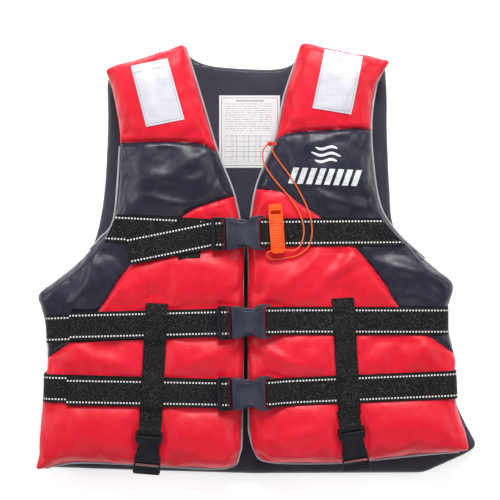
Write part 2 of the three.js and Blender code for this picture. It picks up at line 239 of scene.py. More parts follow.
def ease(low, high, value):
    t = np.clip((value - low) / (high - low), 0, 1)
    return t * t * (3 - 2 * t)


def placeOf(x, y, degrees):
    return Matrix.Translation((x * mm, y * mm, 0)) @ Matrix.Rotation(math.radians(degrees), 4, "Z")


def gridFaces(rows, columns):
    return [(r * columns + c, r * columns + c + 1, (r + 1) * columns + c + 1, (r + 1) * columns + c)
            for r in range(rows - 1) for c in range(columns - 1)]


cordLook = {"diameter": 2.0, "step": 1.6}
cordRoute = [  # down the inner strand, through the whistle, and back up the outer strand
    (17, 155.5, 79.4), (10, 148.5, 78.6), (7.4, 138, 77.3), (11, 124, 77.3), (24, 105, 77.3), (42, 84, 77.3),
    (54.5, 65, 78.6), (61.5, 48, 79.2), (62.5, 31, 79.2), (57, 16, 79.2), (49, 10.5, 81.5), (41.5, 11, 84.2),
    (35, 10.8, 85.2), (28, 10.3, 85.2), (21, 9.85, 85.2), (14.8, 8.6, 84.8), (13.2, 3.6, 82.6), (19, -0.6, 80),
    (28, -1, 78.2), (39, 0.6, 77.3), (50, 2.6, 77.3), (61, 8, 78.4), (69.5, 17, 79.2), (73.6, 32, 79.2),
    (73, 48, 79.2), (69, 64, 78.8), (59.5, 85, 77.3), (46, 108, 77.3), (29, 131, 77.3), (22, 142, 78.4),
    (19.5, 149, 79.4),
]


def tubeMesh(name, line, radius, sides=10):
    line = np.asarray(line, float)
    tangent = np.gradient(line, axis=0)
    tangent /= np.linalg.norm(tangent, axis=1)[:, None]
    side = np.cross(tangent[0], up)
    if np.linalg.norm(side) < 1e-6:
        side = np.array([1.0, 0, 0])
    length = runAlong(line)
    points, faces, uvs = [], [], []
    for p, t in zip(line, tangent):
        side = side - t * (side @ t)
        side /= np.linalg.norm(side)
        other = np.cross(t, side)
        for k in range(sides):
            a = 2 * math.pi * k / sides
            points.append(p + radius * (math.cos(a) * side + math.sin(a) * other))
    for i in range(len(line) - 1):
        for k in range(sides):
            n = (k + 1) % sides
            faces.append((i * sides + k, i * sides + n, (i + 1) * sides + n, (i + 1) * sides + k))
            u0, u1 = length[i] * mm, length[i + 1] * mm
            uvs += [(u0, k / sides), (u0, (k + 1) / sides), (u1, (k + 1) / sides), (u1, k / sides)]
    last = (len(line) - 1) * sides
    faces += [tuple(range(sides))[::-1], tuple(range(last, last + sides))]
    uvs += [(0, k / sides) for k in range(sides)] * 2
    obj = meshFrom(name, points, faces, uvs)
    tidyNormals(obj)
    smoothFaces(obj, 50)
    return obj


cordLine = evenSteps(curveThrough(cordRoute, 12), cordLook["step"])
cordPiece = tubeMesh("whistle_lanyard", cordLine, cordLook["diameter"] / 2)


class Wire:
    def __init__(self, paint, socket):
        self.paint, self.socket = paint, socket

    def maths(self, operation, *others):
        values = {0: self, **{i + 1: v for i, v in enumerate(others)}}
        return self.paint.node("Math", {"operation": operation}, values)

    def __add__(self, other): return self.maths("ADD", other)
    def __radd__(self, other): return self.maths("ADD", other)
    def __sub__(self, other): return self.maths("SUBTRACT", other)
    def __rsub__(self, other): return (self * -1) + other
    def __mul__(self, other): return self.maths("MULTIPLY", other)
    def __rmul__(self, other): return self.maths("MULTIPLY", other)
    def __truediv__(self, other): return self.maths("DIVIDE", other)


class Paint:
    def __init__(self, name):
        self.material = bpy.data.materials.new(name)
        self.material.use_nodes = True
        self.tree = self.material.node_tree
        self.tree.nodes.clear()

    def node(self, kind, settings=None, values=None, output=0):
        made = self.tree.nodes.new("ShaderNode" + kind)
        for key, value in (settings or {}).items():
            if key == "stops":
                ramp = made.color_ramp
                while len(ramp.elements) < len(value):
                    ramp.elements.new(0.5)
                for element, (place, colour) in zip(ramp.elements, value):
                    element.position, element.color = place, (*colour, 1)
            else:
                setattr(made, key, value)
        for key, value in (values or {}).items():
            if isinstance(value, Wire):
                self.tree.links.new(value.socket, made.inputs[key])
            else:
                made.inputs[key].default_value = value
        return Wire(self, made.outputs[output])

    def coordinates(self, which="Object"):
        return self.node("TexCoord", output=which)

    def axes(self, vector):
        first = self.node("SeparateXYZ", None, {0: vector})
        outputs = first.socket.node.outputs
        return [Wire(self, outputs[i]) for i in range(3)]

    def noise(self, vector, scale, detail=2.0, roughness=0.5, distortion=0.0):
        return self.node("TexNoise", None, {"Vector": vector, "Scale": scale, "Detail": detail,
                                            "Roughness": roughness, "Distortion": distortion})

    def step(self, value, low, high, toLow=0.0, toHigh=1.0):
        return self.node("MapRange", {"interpolation_type": "SMOOTHSTEP"},
                         {"Value": value, "From Min": low, "From Max": high, "To Min": toLow, "To Max": toHigh})

    def mix(self, mask, a, b):
        rgba = [v if isinstance(v, Wire) else (*v, 1) for v in (a, b)]
        return self.node("Mix", {"data_type": "RGBA"}, {0: mask, 6: rgba[0], 7: rgba[1]}, output=2)

    def bump(self, height, distance, strength=1.0):
        return self.node("Bump", None, {"Height": height, "Distance": distance, "Strength": strength})

    def shade(self, **values):
        sockets = {key.replace("_", " ").title().replace("Ior", "IOR"): v for key, v in values.items()}
        shader = self.node("BsdfPrincipled", None, {
            k: (v if isinstance(v, Wire) or not isinstance(v, tuple) else (*v, 1)) for k, v in sockets.items()})
        out = self.tree.nodes.new("ShaderNodeOutputMaterial")
        self.tree.links.new(shader.socket, out.inputs["Surface"])
        return self.material


def coatedNylon(name, colour, pale, crinkle, roughness, shine):
    p = Paint(name)
    where = p.coordinates()
    x, y, z = p.axes(where)
    broad = p.noise(where, 9.0, 3.0)
    fine = p.noise(where, 85.0, 4.0, 0.6, 0.7)
    creases = p.noise(where, 38.0, 3.0, 0.55, 1.6)
    thread = (x * 5200).maths("SINE") + (y * 5200).maths("SINE") + (z * 5200).maths("SINE")
    tint = p.step(broad * 0.6 + creases * 0.4, 0.36, 0.66)
    height = creases * (0.9 * crinkle) + fine * (0.28 * crinkle) + thread * 0.014
    return p.shade(base_color=p.mix(tint, colour, pale), roughness=p.step(fine, 0.3, 0.7, roughness - 0.05,
                   roughness + 0.09), normal=p.bump(height, 0.0016, 0.5), sheen_weight=0.04,
                   sheen_roughness=0.5, specular_ior_level=shine)


# dark is the webbing's own colour; the second colour is partly a painted highlight on the weave ribs and partly random
# tone
webbingLook = {"dark": (0.0035, 0.003, 0.0032), "highlightAndTone": (0.021, 0.019, 0.0195), "fleck": (0.080, 0.073, 0.072),
               "thread": (0.92, 0.92, 0.93), "threadShade": (0.55, 0.57, 0.6), "rib": 0.0019, "warp": 0.0024,
               "strand": 0.0007, "roughness": 0.82}


def webbingCloth(name, width, dashes):
    p = Paint(name)
    u, v, _ = p.axes(p.coordinates("UV"))
    where = p.coordinates()
    rib = (u * (2 * math.pi / webbingLook["rib"])).maths("SINE")
    warp = (v * (2 * math.pi / webbingLook["warp"])).maths("SINE")
    weave = rib * warp
    fibre = p.noise(where, 620.0, 2.0)
    worn = p.noise(where, 30.0, 3.0)
    selvedge = p.step(v.maths("ABSOLUTE"), width / 2 - 0.0022, width / 2 - 0.0012)
    # the pale colour is a painted highlight on the weave ribs, mixed with random tone from the fibre and worn noise
    base = p.mix(p.step(weave * 0.7 + fibre + worn * 0.5, 0.55, 1.45), webbingLook["dark"], webbingLook["highlightAndTone"])
    base = p.mix(p.step(fibre, 0.52, 0.72) * 0.85, base, webbingLook["fleck"])
    base = p.mix(selvedge * 0.45, base, webbingLook["dark"])
    height = weave * 0.5 + fibre * 0.25 + rib * 0.2 + selvedge * 0.5
    rough = webbingLook["roughness"]
    if dashes:
        row = 1 - p.step((v.maths("ABSOLUTE") - dashes["row"] / 2).maths("ABSOLUTE"), dashes["width"] / 2 - 0.0002,
                         dashes["width"] / 2 + 0.0001)
        phase = (u / dashes["pitch"]).maths("FRACT")
        mark = 1 - p.step((phase - 0.5).maths("ABSOLUTE"), dashes["share"] / 2 - 0.03, dashes["share"] / 2 + 0.03)
        stitch = row * mark
        strand = (u * (2 * math.pi / webbingLook["strand"])).maths("SINE") * 0.5 + 0.5
        base = p.mix(stitch, base, p.mix(strand * 0.2, webbingLook["thread"], webbingLook["threadShade"]))
        height = height + stitch * 0.8
        rough = rough - stitch * 0.35
    return p.shade(base_color=base, roughness=rough, normal=p.bump(height, 0.0005, 0.75), sheen_weight=0.06,
                   sheen_roughness=0.5, specular_ior_level=0.15)


def mouldedPlastic(name, colour, pale, roughness, grain=1.0, shine=0.5):
    p = Paint(name)
    where = p.coordinates()
    fine = p.noise(where, 900.0, 2.0)
    smear = p.noise(where, 45.0, 3.0, 0.6)
    return p.shade(base_color=p.mix(p.step(smear, 0.35, 0.7), colour, pale),
                   roughness=p.step(smear, 0.3, 0.7, roughness - 0.05, roughness + 0.08),
                   normal=p.bump(fine, 0.00012 * grain, 0.6), specular_ior_level=shine)


def reflectiveFilm(name, wide, tall):
    p = Paint(name)
    u, v, _ = p.axes(p.coordinates("UV"))  # millimetres from the lower left corner
    where = p.coordinates()
    x, y, _ = p.axes(where)
    cells = ((x + y) * 1900).maths("SINE") * ((x - y) * 1900).maths("SINE")
    creases = p.noise(where, 30.0, 3.0, 0.5, 1.2)
    inset = (u.maths("MINIMUM", wide - u)).maths("MINIMUM", v.maths("MINIMUM", tall - v))
    seam = 1 - p.step((inset - 2.6).maths("ABSOLUTE"), 0.25, 0.6)
    stitch = seam * p.step(((u + v) / 2.6).maths("FRACT"), 0.25, 0.35)
    # a darker band along the fold near the top edge, painted shade in the fold crease
    fold = 1 - p.step((v - (tall - 11)).maths("ABSOLUTE"), 0.3, 1.6)
    base = p.mix(p.step(cells, -0.5, 0.7), (0.60, 0.60, 0.66), (0.76, 0.765, 0.82))
    base = p.mix(stitch * 0.7, base, (0.3, 0.3, 0.33))
    # painted shade darkens the fold line
    base = p.mix(fold * 0.3, base, (0.3, 0.3, 0.34))
    return p.shade(base_color=base, roughness=p.step(creases, 0.3, 0.7, 0.26, 0.44), metallic=0.1,
                   normal=p.bump(cells * 0.12 + creases - seam * 0.5 - fold * 0.6, 0.0012, 0.6), coat_weight=0.25,
                   coat_roughness=0.2)


def labelCloth():
    p = Paint("label_cloth")
    u, v, _ = p.axes(p.coordinates("UV"))  # millimetres from the label's lower left corner
    where = p.coordinates()

    def bar(value, centre, half, soft=0.12):
        return 1 - p.step((value - centre).maths("ABSOLUTE"), half - soft, half + soft)

    def span(value, low, high):
        return bar(value, (low + high) / 2, (high - low) / 2, 0.15)

    outer = 1 - (span(u, 3, 81) * span(v, 3, 97))
    inner = span(u, 3.8, 80.2) * span(v, 3.8, 96.2)
    border = 1 - (outer + inner).maths("MINIMUM", 1.0)
    rows = bar((v / 3.1).maths("FRACT"), 0.5, 0.17, 0.06)
    breaks = p.step(p.noise(where, 520.0, 1.0), 0.44, 0.5)
    words = rows * breaks * span(u, 8, 73) * span(v, 51, 89)
    heading = span(u, 23, 62) * bar(v, 92.5, 0.8)
    table = span(u, 8, 76) * span(v, 8, 45)
    across = bar((v / 7.2).maths("FRACT"), 0.11, 0.035, 0.02)
    down = bar((u / 16.25).maths("FRACT"), 0.49, 0.018, 0.01)
    figures = rows * breaks * bar((u / 16.25).maths("FRACT"), 0.0, 0.2, 0.05)
    grid = table * (across.maths("MAXIMUM", down)).maths("MAXIMUM", figures * 0.8)
    ink = (border + words * 0.75 + heading + grid).maths("MINIMUM", 1.0)
    weave = (u * 9).maths("SINE") * (v * 9).maths("SINE")
    base = p.mix(ink * 0.72, (0.84, 0.85, 0.87), (0.07, 0.075, 0.09))
    creases = p.noise(where, 40.0, 2.0)
    return p.shade(base_color=base, roughness=0.55, normal=p.bump(weave * 0.1 + creases, 0.0006, 0.4))


def wovenFabric(name, colour, pale, pitch, roughness=0.75):
    p = Paint(name)
    where = p.coordinates()
    x, y, z = p.axes(where)
    k = 2 * math.pi / pitch
    weave = (x * k).maths("SINE") * (y * k).maths("SINE") + (z * k).maths("SINE") * 0.3
    soft = p.noise(where, 17.0, 2.0, 0.5, 0.8)
    return p.shade(base_color=p.mix(p.step(weave * 0.3 + soft, 0.25, 0.9), colour, pale), roughness=roughness,
                   normal=p.bump(weave * 0.06 + soft, 0.005, 0.5), sheen_weight=0.15, sheen_roughness=0.5)


def braidedCord():
    p = Paint("braided_cord")
    u, v, _ = p.axes(p.coordinates("UV"))
    left = ((u * 2400) + v * (4 * math.pi)).maths("SINE")
    right = ((u * 2400) - v * (4 * math.pi)).maths("SINE")
    braid = left.maths("MAXIMUM", right)
    return p.shade(base_color=p.mix(p.step(braid, -0.2, 0.9), (0.72, 0.06, 0.008), (1.0, 0.17, 0.025)),
                   roughness=0.5, normal=p.bump(braid, 0.00025, 0.8), sheen_weight=0.1, sheen_roughness=0.5)


def printedInk():
    p = Paint("white_print")
    where = p.coordinates()
    worn = p.noise(where, 300.0, 3.0)
    return p.shade(base_color=p.mix(p.step(worn, 0.3, 0.7), (0.62, 0.64, 0.68), (0.86, 0.87, 0.9)), roughness=0.42,
                   normal=p.bump(worn, 0.0002, 0.5))


redNylon = coatedNylon("red_coated_nylon", (0.72, 0.0050, 0.021), (0.80, 0.010, 0.034), 0.45, 0.40, 0.34)
navyNylon = coatedNylon("dark_coated_nylon", (0.0085, 0.0085, 0.021), (0.018, 0.018, 0.038), 0.45, 0.36, 0.5)
liningCloth = wovenFabric("dark_lining_mesh", (0.016, 0.016, 0.030), (0.042, 0.042, 0.070), 0.0022)
frontLiningCloth = wovenFabric("black_lining_cloth", (0.004, 0.004, 0.006), (0.010, 0.010, 0.015), 0.0022)
beltCloth = webbingCloth("belt_webbing_stitched", 0.038, {"row": 0.0285, "width": 0.0021, "pitch": 0.0042,
                                                          "share": 0.52})
strapCloth = webbingCloth("plain_webbing", 0.030, None)
slatePlastic = mouldedPlastic("slate_plastic", (0.025, 0.027, 0.046), (0.041, 0.044, 0.070), 0.36)
blackPlastic = mouldedPlastic("black_plastic", (0.0055, 0.0055, 0.0095), (0.010, 0.010, 0.0165), 0.42, 1.0, 0.3)
whistlePlastic = mouldedPlastic("orange_plastic", (0.9, 0.085, 0.008), (1.0, 0.13, 0.012), 0.3, 0.5)
pipingCloth = wovenFabric("grey_piping", (0.34, 0.35, 0.38), (0.55, 0.56, 0.60), 0.0012, 0.6)
loopCloth = wovenFabric("red_binding", (0.7, 0.02, 0.02), (0.85, 0.05, 0.03), 0.0012, 0.6)
print("materials made")

finished(cordPiece, braidedCord(), "front", ["whistle_cord"])

# outlines of the two fronts and the back, seen from above, in millimetres
rightHem = curveThrough([(-21, -232), (-24, -264), (-45, -284), (-163, -279), (-230, -276), (-262, -278),
                         (-300, -287)], 5)
leftHem = curveThrough([(-10.5, -232), (-3, -260), (15, -275), (92, -277), (151, -273), (240, -264), (288, -261)], 5)
rightOutline = [
    *curveThrough([(-98, 291), (-76, 218), (-54, 145), (-31, 85), (-18, 20)], 4),
    (-17.5, -130), *rightHem,
    *curveThrough([(-295, -264), (-293, -212), (-284, -140), (-288, -82), (-298, -53)], 4),
    *curveThrough([(-295, -46), (-254, -15), (-224, 14), (-193, 55), (-185, 154), (-196, 229)], 5),
    (-206, 257),
][::-1]
leftOutline = [
    *curveThrough([(60, 293), (38, 222), (25, 161), (-1, 95), (-12, 20)], 4),
    (-12.5, -130), *leftHem,
    *curveThrough([(283, -234), (270, -194), (269, -140), (256, -80), (264, -52), (267, -38)], 4),
    *curveThrough([(261, -28), (227, 0), (187, 38), (164, 80), (154, 173), (161, 237)], 5),
    (181, 268),
]
backOutline = [
    (-296, -290), *curveThrough([(-294, -276), (-285, -140), (-289, -56)], 4),
    *curveThrough([(-258, -18), (-229, 14), (-213, 82), (-207, 178), (-208, 243)], 4),
    (-203, 260), (-98, 286),
    *curveThrough([(-88, 276), (-62, 267), (-10, 263), (30, 263), (50, 269)], 4),
    (61, 288), (179, 265),
    *curveThrough([(181, 219), (181, 176), (185, 91), (192, 40), (231, 0), (263, -36)], 4),
    *curveThrough([(261, -100), (273, -190), (306.5, -260)], 4),
    (292, -271), (231, -298), (-9, -299), (-150, -295),
][::-1]

seams = {
    "right": {
        "lower": [(0, 93), (-65, 73), (-100, 56), (-171, -10), (-211, -68), (-253, -114), (-310, -150)],
        "yoke": [(-230, 154), (-143, 157), (-78, 155), (-54, 145), (-20, 140)],
    },
    "left": {
        "lower": [(-30, 96), (34, 89), (55, 75), (85, 55), (128, 19), (168, -29), (190, -64), (231, -104), (300, -150)],
        "yoke": [(-10, 155), (25, 161), (44, 169), (98, 173), (141, 175), (200, 168)],
    },
}
beyondSeams = {  # the outer corners of the tools that cut the panel along its seams
    "right": {"lower": [(-330, -330), (0, -330)], "yoke": [(0, 330), (-240, 330)]},
    "left": {"lower": [(300, -330), (-40, -330)], "yoke": [(240, 330), (-10, 330)]},
}
belts = {
    "chest": {"mouth": (-41, 33), "turn": 1.9, "right": (-196.5, 41), "left": (182, 36), "tailEnd": (-172, 10),
              "wraps": False, "cuts": (15, 34)},
    "waist": {"mouth": (-33.5, -85.5), "turn": 2.0, "right": (-283, -95), "left": (256.5, -84),
              "tailEnd": (-251, -91), "wraps": True, "cuts": (0, 0)},
    "lower": {"mouth": (-33, -181), "turn": 1.2, "right": (-286.5, -174), "left": (268, -169.5),
              "tailEnd": (-255, -178), "wraps": True, "cuts": (0, 0)},
}
straps = {
    "right": {"top": (-134, -61), "bar": (-144, -232.5), "turn": 85.5, "lower": 53.5, "waist": 144, "over": 81.4},
    "left": {"top": (115, -53), "bar": (125.5, -227), "turn": 98.6, "lower": 51.5, "waist": 143.5, "over": 78.2},
}
patches = {
    "right": [(-148, 176), (-97, 186), (-120, 268), (-169, 258)],
    "left": [(74, 201), (126, 193), (142, 271), (91, 281)],
}
beltWidth, strapWidth, webbing = 38.0, 30.0, 1.6

panelLook = {"voxel": 5.0, "rimWidth": 13.0, "pressure": 4.0, "cap": 7.0, "sideCap": 2.0, "frames": 20,
             "shrink": 0.05, "smoothing": 5, "seamDepth": 2.3, "seamWidth": 2.6, "seamHold": 3.5, "pucker": 0.8,
             "room": 12.5, "folds": 2.3, "swell": 3.4, "swellReach": 17.0, "fill": 0.7, "liningHigh": 41.3}
clothLook = {"quality": 4, "mass": 0.25, "tension_stiffness": 14, "compression_stiffness": 14, "shear_stiffness": 6,
             "bending_stiffness": 0.35, "use_pressure": True}
pressedLook = {"buckleBack": 58, "buckleFront": 54, "buckle": 25, "tail": 20, "crotchBuckle": 88, "crotch": 20,
               "cord": 7}
foldLook = {  # middle of each group, reach, direction of its ridges in degrees, spacing and height
    "right": [(-112, 122, 55, 28, 46, 2.9), (-110, 78, 55, 6, 36, 2.4), (-238, -38, 48, 78, 40, 3.2),
              (-240, -215, 45, 75, 48, 2.2), (-90, 5, 50, 160, 52, 1.5), (-205, -130, 50, 150, 52, 1.6),
              (-110, -235, 70, 172, 60, 1.2), (-150, 215, 45, 100, 46, 1.6), (-70, -130, 45, 20, 50, 1.2)],
    "left": [(92, 78, 60, -3, 36, 2.6), (95, 158, 50, 2, 40, 1.6), (42, 128, 36, 120, 40, 1.6),
             (212, -25, 48, 158, 40, 3.0), (62, -16, 46, 46, 38, 3.0), (118, -2, 36, 57, 40, 2.4),
             (35, -135, 45, 168, 36, 2.0), (215, -135, 50, 40, 50, 1.8), (200, -225, 55, 5, 56, 1.4),
             (60, -232, 40, 20, 46, 1.5), (140, 235, 40, 60, 40, 2.0), (60, 235, 40, 110, 44, 1.2)],
}


def plainSlab(name, outline, low, high):
    deselectAll()
    bpy.ops.mesh.primitive_circle_add(vertices=len(outline), radius=0.01, fill_type="NGON")
    obj = bpy.context.object
    obj.name = obj.data.name = name
    for vertex, (x, y) in zip(obj.data.vertices, outline):
        vertex.co = (x * mm, y * mm, low * mm)
    bpy.ops.object.mode_set(mode="EDIT")
    bpy.ops.mesh.select_all(action="SELECT")
    bpy.ops.mesh.extrude_region_move(TRANSFORM_OT_translate={"value": (0, 0, (high - low) * mm)})
    bpy.ops.mesh.select_all(action="SELECT")
    bpy.ops.mesh.normals_make_consistent(inside=False)
    bpy.ops.object.mode_set(mode="OBJECT")
    return obj


def wideSlab(name, low, high):  # wider than the whole jacket
    return plainSlab(name, [(-400, -400), (400, -400), (400, 400), (-400, 400)], low, high)


def roundRim(points, outline, low, high, rim):
    line = np.vstack([outline, outline[:1]])
    d, _, place = nearest(points[:, :2], line)
    out = ~inside(points[:, :2], outline)
    d = np.where(out, 0, d)
    half, middle = (high - low) / 2, (high + low) / 2
    a = np.clip(1 - d / rim, 0, 1)
    b = np.clip((points[:, 2] - middle) / half, -1, 1)
    newD = rim * (1 - a * np.sqrt(1 - b * b / 2))
    newB = b * np.sqrt(1 - a * a / 2)
    inward = points[:, :2] - place
    inward[out] *= -1
    size = np.maximum(np.hypot(*inward.T), 1e-6)
    centre = outline.mean(axis=0)
    towards = centre - points[:, :2]
    towards /= np.hypot(*towards.T)[:, None]
    inward = np.where((size < 0.4)[:, None], towards, inward / size[:, None])
    moved = points.copy()
    change = np.where(a > 0, newD - d, 0)
    base = np.where(out[:, None], place, points[:, :2])
    moved[:, :2] = base + inward * change[:, None]
    moved[:, 2] = middle + half * newB
    return moved


def inflate(obj, held, pressure, frames, grow):
    group = obj.vertex_groups.new(name="held")
    group.add([int(i) for i in np.flatnonzero(held)], 1.0, "REPLACE")
    modifier = obj.modifiers.new("cloth", "CLOTH")
    cloth = modifier.settings
    for key, value in clothLook.items():
        setattr(cloth, key, value)
    cloth.uniform_pressure_force = pressure
    cloth.vertex_group_mass = "held"
    cloth.shrink_min = -grow
    cloth.effector_weights.gravity = 0
    modifier.point_cache.frame_start = 1
    modifier.point_cache.frame_end = frames
    scene = bpy.context.scene
    for number in range(1, frames + 1):
        scene.frame_set(number)
    graph = bpy.context.evaluated_depsgraph_get()
    swollen = obj.evaluated_get(graph).to_mesh()
    flat = np.empty(len(swollen.vertices) * 3)
    swollen.vertices.foreach_get("co", flat)
    obj.evaluated_get(graph).to_mesh_clear()
    obj.modifiers.remove(modifier)
    obj.vertex_groups.clear()
    scene.frame_set(1)
    return flat.reshape(-1, 3) / mm


def frontPressed(xy):  # how far each point is from the belts, straps, buckles and cord that lie on the fronts
    look = pressedLook

    def gap(line, half):
        near.append(nearest(xy, np.array(line, float))[0] - half)

    near = []
    for belt in belts.values():
        mouth = np.array(belt["mouth"], float)
        a = math.radians(belt["turn"])
        along = np.array([math.cos(a), math.sin(a)])
        gap([belt["right"], mouth, belt["left"]], beltWidth / 2)
        gap([mouth - look["buckleBack"] * along, mouth + look["buckleFront"] * along], look["buckle"])
        gap([belt["tailEnd"], mouth - (25, 0)], look["tail"])
    for strap in straps.values():
        bar = np.array(strap["bar"], float)
        a = math.radians(strap["turn"])
        gap([strap["top"], bar], strapWidth / 2)
        gap([bar, bar - look["crotchBuckle"] * np.array([math.cos(a), math.sin(a)])], look["crotch"])
    gap(np.array(cordRoute)[:, :2], look["cord"])
    return np.min(near, axis=0)


def softFolds(xy, side, seed):
    rng = np.random.default_rng(seed)
    total = np.zeros(len(xy))
    for x, y, reach, degrees, spacing, height in foldLook[side]:
        a = math.radians(degrees)
        along = (xy[:, 0] - x) * math.cos(a) + (xy[:, 1] - y) * math.sin(a)
        across = (xy[:, 1] - y) * math.cos(a) - (xy[:, 0] - x) * math.sin(a)
        drift = 7 * np.sin(along / 31 + rng.uniform(0, 6)) + 4 * np.sin(along / 17 + rng.uniform(0, 6))
        wave = 0.5 + 0.5 * np.cos((across + drift) * 2 * math.pi / spacing + rng.uniform(-0.6, 0.6))
        wave = wave ** 2.2 - 0.3
        total += height * wave * np.exp(-(along ** 2 + across ** 2 * 1.4) / (2 * (reach * 0.62) ** 2))
    return total


def frontPanel(side, outline, seed):
    low, high = levels["frontLow"], levels["frontHigh"]
    outline = evenSteps(outline, 5.0, closed=True)
    obj = plainSlab(f"{side}_front_panel", outline, low, high)
    obj.data.remesh_voxel_size = panelLook["voxel"] * mm
    makeActive(obj)
    bpy.ops.object.voxel_remesh()
    points = roundRim(getPoints(obj), outline, low, high, panelLook["rimWidth"])
    setPoints(obj, points)
    lines = {k: np.array(curveThrough(v, 6)) for k, v in seams[side].items()}
    line = np.vstack([outline, outline[:1]])
    middle = (low + high) / 2
    xy = points[:, :2]
    held = points[:, 2] < middle
    held |= frontPressed(xy) < 0
    for seam in lines.values():
        held |= nearest(xy, seam)[0] < panelLook["seamHold"]
    swollen = inflate(obj, held, panelLook["pressure"], panelLook["frames"], panelLook["shrink"])
    change = swollen - points
    change[:, :2] = np.clip(change[:, :2], -panelLook["sideCap"], panelLook["sideCap"])
    change[:, 2] = panelLook["cap"] * np.tanh(change[:, 2] / panelLook["cap"])
    setPoints(obj, points + change)
    useModifier(obj, "SMOOTH", factor=0.5, iterations=panelLook["smoothing"])
    useModifier(obj, "SUBSURF", levels=1, render_levels=1)
    points = getPoints(obj)
    xy = points[:, :2]
    topShare = ease(middle, high - 6, points[:, 2])
    edge, along, _ = nearest(xy, line)
    free = np.maximum(frontPressed(xy), 0)
    # soft swelling between belts, small gathers at the rim and at the seams
    swell = 1 - np.exp(-free / panelLook["swellReach"])
    lift = panelLook["swell"] * swell * ease(4, 45, edge)
    lift += panelLook["folds"] * softFolds(xy, side, seed) * ease(0, 18, free) * ease(2, 16, edge)
    lift += panelLook["pucker"] * ripple(along, seed + 1, (21, 33, 52)) * np.exp(-edge / 24) * ease(0, 8, edge)
    for number, seam in enumerate(lines.values()):
        d, s, _ = nearest(xy, seam)
        lift += 0.9 * panelLook["pucker"] * ripple(s, seed + 2 + number, (19, 31, 47)) * np.exp(-d / 17)
        lift -= (panelLook["seamDepth"] + 3.0 * swell) * np.exp(-(d / panelLook["seamWidth"]) ** 2)
        lift -= 1.2 * np.exp(-d / 9) * ease(0, 8, free)
    for belt in belts.values():  # gathers that run out from under the belts
        d, s, _ = nearest(xy, np.array([belt["right"], belt["left"]], float))
        lift += 0.9 * ripple(s, seed + 9, (22, 35, 54)) * np.exp(-np.maximum(d - 19, 0) / 18) * ease(0, 6, free)
    points[:, 2] += lift * topShare
    room = panelLook["room"] * (1 - np.exp(-free / 14)) + 0.05
    above = points[:, 2] - high
    points[:, 2] = np.where(above > 0, high + room * np.tanh(above / room), points[:, 2])
    sideways = (1 - topShare) * panelLook["pucker"] * 0.5 * ripple(along, seed + 5)
    centre = outline.mean(axis=0)
    outward = xy - centre
    outward /= np.maximum(np.hypot(*outward.T), 1)[:, None]
    points[:, :2] += outward * (sideways * np.exp(-edge / 10))[:, None] * 0.8
    setPoints(obj, points)
    smoothFaces(obj)
    return obj


def copied(obj, name):
    twin = obj.copy()
    twin.data = obj.data.copy()
    twin.name = twin.data.name = name
    bpy.context.scene.collection.objects.link(twin)
    return twin


def cutWith(obj, tool, operation="DIFFERENCE", solver="MANIFOLD"):
    useModifier(obj, "BOOLEAN", object=tool, operation=operation, solver=solver)


def cutApart(whole, side):  # the lining from below, then the lower cover and the yoke; the chest is what's left
    tools = {"lining": wideSlab("lining tool", 20, panelLook["liningHigh"])}
    for key in ("lower", "yoke"):
        line = [tuple(p) for p in curveThrough(seams[side][key], 5)] + beyondSeams[side][key]
        tools[key] = plainSlab(f"{key} tool", line, 30, 100)
    pieces = {}
    for key, tool in tools.items():
        pieces[key] = copied(whole, f"{side}_{key}")
        cutWith(pieces[key], tool, "INTERSECT")
        cutWith(whole, tool)
    removed(*tools.values())
    pieces["chest"] = whole
    return pieces


frontTrees = {}
for side, outline, seed in (("right", rightOutline, 11), ("left", leftOutline, 31)):
    whole = frontPanel(side, outline, seed)
    frontTrees[side] = BVHTree.FromObject(whole, bpy.context.evaluated_depsgraph_get())
    parts = cutApart(whole, side)
    names = {"lower": ("lower_fabric", redNylon, "red_fabric", ["lower_cover", "foam_core"]),
             "chest": ("chest_fabric", navyNylon, "navy_fabric", ["chest_cover"]),
             "yoke": ("shoulder_fabric", redNylon, "red_fabric", ["shoulder_cover"]),
             "lining": ("front_lining_fabric", frontLiningCloth, "lining_fabric", ["front_lining"])}
    for key, part in parts.items():
        label, material, slot, nodes = names[key]
        part.name = part.data.name = f"{side}_{label}"
        smoothFaces(part, 55)
        finished(part, material, "front", [f"{side}_{n}" for n in nodes])
        key != "lining"
    print(side, "front made")

backLook = {"voxel": 7.0, "rim": 10.0, "liningLow": 20.6, "lowest": 2.0, "highest": 23.5, "fill": 0.6}


def backPanel():
    low, high = levels["backLow"], levels["backHigh"]
    outline = evenSteps(backOutline, 6.0, closed=True)
    obj = plainSlab("back_panel", outline, low, high)
    obj.data.remesh_voxel_size = backLook["voxel"] * mm
    makeActive(obj)
    bpy.ops.object.voxel_remesh()
    points = roundRim(getPoints(obj), outline, low, high, backLook["rim"])
    setPoints(obj, points)
    useModifier(obj, "SUBSURF", levels=1, render_levels=1)
    points = getPoints(obj)
    xy = points[:, :2]
    line = np.vstack([outline, outline[:1]])
    edge, along, _ = nearest(xy, line)
    gather = 0.8 * ripple(along, 71) * np.exp(-edge / 18) * ease(0, 5, edge)
    soft = 0.5 * ripple(xy[:, 0] + 0.3 * xy[:, 1], 72, (47, 71, 110)) * ease(5, 30, edge)
    topShare = ease(14, 21, points[:, 2])
    points[:, 2] += (gather + soft - 0.8) * topShare - (gather + 0.3) * 0.6 * (1 - ease(4, 11, points[:, 2]))
    points[:, 2] = np.clip(points[:, 2], backLook["lowest"], backLook["highest"])
    setPoints(obj, points)
    smoothFaces(obj)
    return obj


